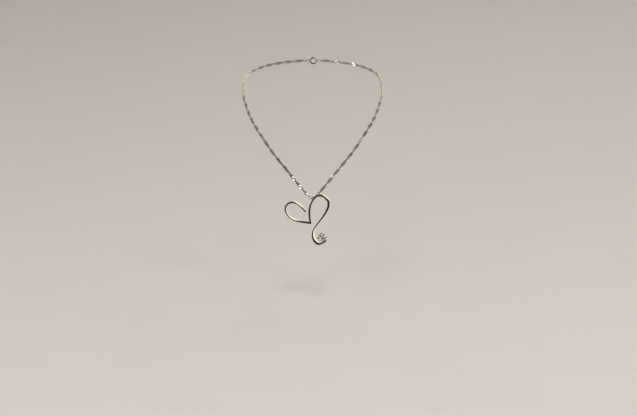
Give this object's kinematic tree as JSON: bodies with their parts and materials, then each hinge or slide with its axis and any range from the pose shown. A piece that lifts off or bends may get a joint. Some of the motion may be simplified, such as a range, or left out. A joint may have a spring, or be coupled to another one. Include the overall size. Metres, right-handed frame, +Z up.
{
  "type": "pendant necklace",
  "caption": "Necklace with a twisted link chain, a spring ring clasp, and an open ribbon heart pendant whose tail curls under a round stone in a pronged setting.",
  "frame": {"origin": "where the chain's closure rests on the back of the neck, in the middle of the nape", "axes": "+Z up, +X to the right of someone facing the wearer, -Y towards the front, where the pendant lies on the chest"},
  "size_m": [0.1137, 0.1337, 0.1184],
  "materials": {
    "chain": "bright rhodium-plated silver, diamond cut",
    "ribbon": "mirror polished rhodium-plated silver",
    "findings": "polished rhodium-plated silver",
    "spring_steel": "drawn spring wire",
    "stone": "clear faceted round brilliant, polished"
  },
  "bodies": {
    "nape_run": {"chain_nape_left": "chain", "chain_nape_right": "chain", "clasp_ring": "findings", "clasp_eye": "findings", "clasp_spring": "spring_steel"},
    "jump_ring": {"jump_ring": "findings"},
    "catch_ring": {"catch_ring": "findings"},
    "clasp_bolt": {"clasp_bolt": "findings", "clasp_knob": "findings"},
    "side_drop": {"chain_side_left": "chain", "chain_side_right": "chain"},
    "front_drop": {"chain_front_left": "chain", "chain_front_right": "chain"},
    "vertex_links": {"chain_vertex": "chain"},
    "pendant": {"pendant_ribbon": "ribbon", "bail": "findings", "setting_base": "findings", "setting_rail": "findings", "setting_prongs": "findings", "stone": "stone"}
  },
  "joints": [
    {"name": "side_lift", "type": "hinge", "parent": "nape_run", "child": "side_drop", "pos_m": [0, -0.04641, -0.01005], "axis": [-1, 0, 0], "range_deg": [0, 45]},
    {"name": "front_lift", "type": "hinge", "parent": "side_drop", "child": "front_drop", "pos_m": [0, -0.09419, -0.03916], "axis": [-1, 0, 0], "range_deg": [0, 40]},
    {"name": "vertex_lift", "type": "hinge", "parent": "front_drop", "child": "vertex_links", "pos_m": [0, -0.11413, -0.0791], "axis": [-1, 0, 0], "range_deg": [0, 18]},
    {"name": "pendant_swing", "type": "hinge", "parent": "vertex_links", "child": "pendant", "pos_m": [0, -0.115, -0.081], "axis": [-1, 0, 0], "range_deg": [0, 20]},
    {"name": "jump_ring_turn", "type": "hinge", "parent": "nape_run", "child": "jump_ring", "pos_m": [-0.00506, 0, 0], "axis": [1, 0, 0], "range_deg": [-30, 30]},
    {"name": "catch_ring_turn", "type": "hinge", "parent": "nape_run", "child": "catch_ring", "pos_m": [0.00339, 0, 0], "axis": [1, 0, 0], "range_deg": [-25, 25]},
    {"name": "clasp_trigger", "type": "hinge", "parent": "nape_run", "child": "clasp_bolt", "pos_m": [0.00056, 0, 0], "axis": [0, -1, 0], "range_deg": [0, 50], "stiffness_Nm_per_rad": 0.004, "springref_deg": -28.65, "deforming": ["clasp_spring"]}
  ]
}
